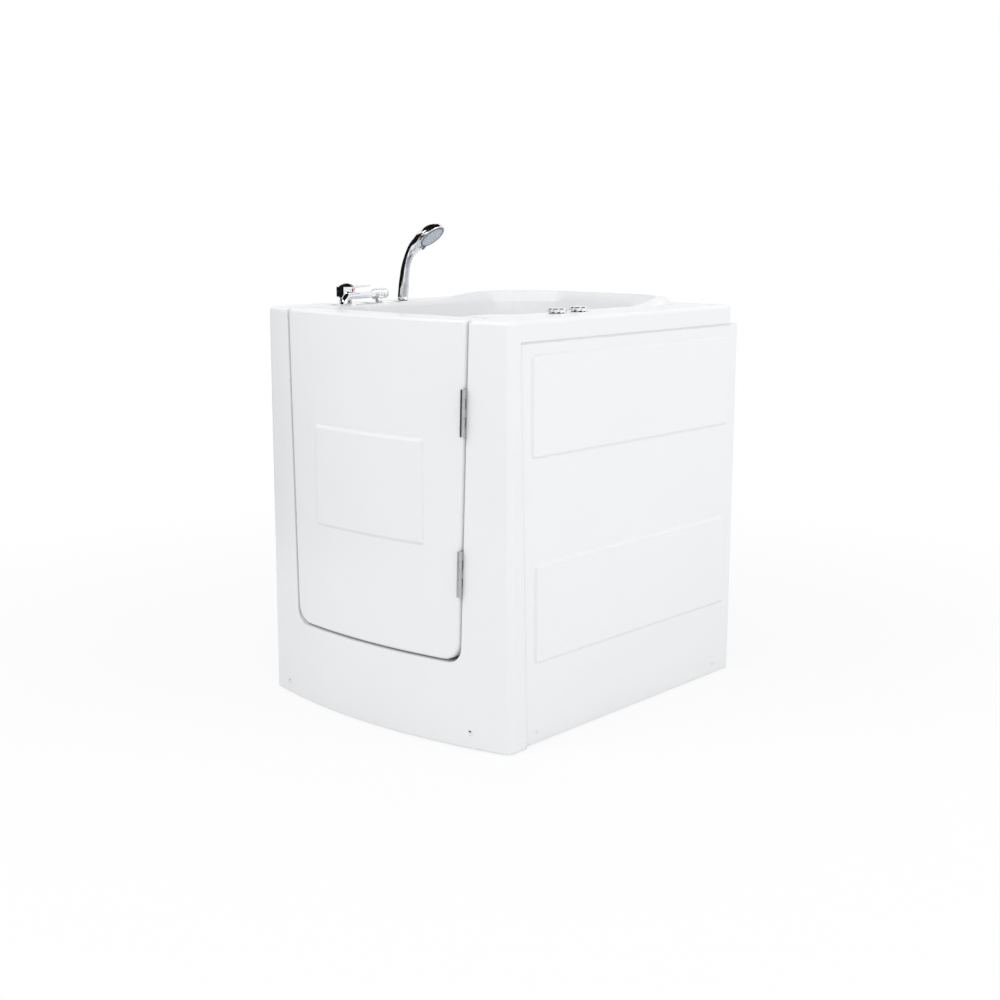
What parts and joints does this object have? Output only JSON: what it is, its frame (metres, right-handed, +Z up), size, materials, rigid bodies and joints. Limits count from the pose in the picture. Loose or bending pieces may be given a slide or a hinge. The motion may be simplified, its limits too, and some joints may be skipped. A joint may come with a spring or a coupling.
{
  "type": "walk-in bathtub",
  "caption": "Walk-in bathtub with a bowed outward-opening door, moulded seat, deck-mounted taps, hand shower and a removable side panel on a steel frame.",
  "frame": {"origin": "centre of the bounding box, on the floor", "axes": "+X across the tub towards the side panel, -Y out of the door, +Z up"},
  "size_m": [0.8, 0.964, 1.183],
  "materials": {
    "gel_coat": "gloss",
    "door_skin": "gloss",
    "panel_skin": "gloss",
    "chrome": "polished",
    "steel": "brushed",
    "galvanised": "satin",
    "rubber": "matte",
    "black_plastic": "matte",
    "grey_plastic": "matte",
    "white_pipe": "satin",
    "board": "raw plywood",
    "brass": "satin",
    "shower_plate": "satin",
    "selector_ring": "satin",
    "motor_paint": "satin"
  },
  "bodies": {
    "root": {"tub_shell": "gel_coat", "hinge_frame_leaves": "steel", "hinge_pins": "steel", "latch_keeper": "black_plastic", "side_panel": "panel_skin", "panel_screws": "chrome", "panel_brackets": "galvanised", "skirt_screws": "chrome", "skirt_brackets": "galvanised", "side_rails": "galvanised", "cross_rails": "galvanised", "corner_posts": "galvanised", "seat_rails": "galvanised", "seat_bearers": "galvanised", "base_board": "board", "drain_flange": "chrome", "drain_shoe": "grey_plastic", "overflow_plate": "chrome", "overflow_pipe": "grey_plastic", "suction_cover": "chrome", "pump": "black_plastic", "pump_motor": "motor_paint", "suction_pipe": "white_pipe", "jets": "chrome", "jet_pipes": "white_pipe", "air_valves": "chrome", "air_pipes": "white_pipe", "mixer_body": "chrome", "spout_base": "chrome", "shower_holder": "chrome", "tap_nuts": "brass", "tap_tails": "brass"},
    "door": {"door_shell": "door_skin", "door_liner": "door_skin", "door_seal": "rubber", "hinge_door_leaves": "steel", "latch_case": "grey_plastic"},
    "latch_handle": {"latch_handle": "chrome"},
    "latch_bolt": {"latch_bolt": "steel"},
    "drain_plug": {"drain_plug": "chrome"},
    "overflow_knob": {"overflow_knob": "chrome"},
    "air_knob_front": {"air_knob_front": "chrome"},
    "air_knob_rear": {"air_knob_rear": "chrome"},
    "mixer_cap": {"mixer_cap": "chrome"},
    "mixer_lever": {"mixer_lever": "chrome"},
    "spout": {"spout": "chrome"},
    "diverter_knob": {"diverter_knob": "chrome"},
    "hand_shower": {"hand_shower": "chrome", "shower_face": "shower_plate"},
    "spray_selector": {"spray_selector": "selector_ring"},
    "foot_front_left": {"foot_front_left": "grey_plastic"},
    "foot_front_right": {"foot_front_right": "grey_plastic"},
    "foot_rear_left": {"foot_rear_left": "grey_plastic"},
    "foot_rear_right": {"foot_rear_right": "grey_plastic"}
  },
  "joints": [
    {"name": "door_hinge", "type": "hinge", "parent": "root", "child": "door", "pos_m": [0.28436, -0.45647, 0.5935], "axis": [0.0283, 0, 0.9996], "range_deg": [0, 110]},
    {"name": "latch_turn", "type": "hinge", "parent": "door", "child": "latch_handle", "pos_m": [-0.165, -0.38, 0.728], "axis": [0, -1, 0], "range_deg": [0, 90]},
    {"name": "bolt_slide", "type": "slide", "parent": "door", "child": "latch_bolt", "axis": [-1, 0, 0], "range_m": [0, 0.014]},
    {"name": "overflow_turn", "type": "hinge", "parent": "root", "child": "overflow_knob", "pos_m": [-0.24937, -0.091, 0.86], "axis": [0.9993, 0, 0.0386], "range_deg": [0, 90]},
    {"name": "plug_lift", "type": "slide", "parent": "root", "child": "drain_plug", "axis": [0, 0, 1], "range_m": [0, 0.012]},
    {"name": "air_front_turn", "type": "hinge", "parent": "root", "child": "air_knob_front", "pos_m": [0.292, -0.135, 0.98], "axis": [0, 0, 1], "range_deg": [0, 180]},
    {"name": "air_rear_turn", "type": "hinge", "parent": "root", "child": "air_knob_rear", "pos_m": [0.292, -0.054, 0.98], "axis": [0, 0, 1], "range_deg": [0, 180]},
    {"name": "mixer_turn", "type": "hinge", "parent": "root", "child": "mixer_cap", "pos_m": [-0.312, -0.239, 0.98], "axis": [0, 0, 1], "range_deg": [-50, 50]},
    {"name": "lever_tilt", "type": "hinge", "parent": "mixer_cap", "child": "mixer_lever", "pos_m": [-0.30747, -0.23506, 1.023], "axis": [0.6561, -0.7547, 0], "range_deg": [0, 22]},
    {"name": "spout_swivel", "type": "hinge", "parent": "root", "child": "spout", "pos_m": [-0.312, -0.124, 0.98], "axis": [0, 0, 1], "range_deg": [0, 95]},
    {"name": "diverter_turn", "type": "hinge", "parent": "spout", "child": "diverter_knob", "pos_m": [-0.312, -0.124, 1.003], "axis": [-0.3256, 0.9455, 0], "range_deg": [0, 90]},
    {"name": "shower_lift", "type": "slide", "parent": "root", "child": "hand_shower", "axis": [0, 0, 1], "range_m": [0, 0.045]},
    {"name": "selector_turn", "type": "hinge", "parent": "hand_shower", "child": "spray_selector", "pos_m": [-0.22041, -0.01785, 1.147], "axis": [0.659, 0.1162, -0.7431], "range_deg": [-40, 40]},
    {"name": "front_left_level", "type": "slide", "parent": "root", "child": "foot_front_left", "axis": [0, 0, -1], "range_m": [0, 0.015]},
    {"name": "front_right_level", "type": "slide", "parent": "root", "child": "foot_front_right", "axis": [0, 0, -1], "range_m": [0, 0.015]},
    {"name": "rear_left_level", "type": "slide", "parent": "root", "child": "foot_rear_left", "axis": [0, 0, -1], "range_m": [0, 0.015]},
    {"name": "rear_right_level", "type": "slide", "parent": "root", "child": "foot_rear_right", "axis": [0, 0, -1], "range_m": [0, 0.015]}
  ],
  "couplings": [
    {"joint": "bolt_slide", "follows": "latch_turn", "m_per_rad": 0.0089},
    {"joint": "overflow_turn", "follows": "plug_lift", "rad_per_m": 130.8}
  ]
}
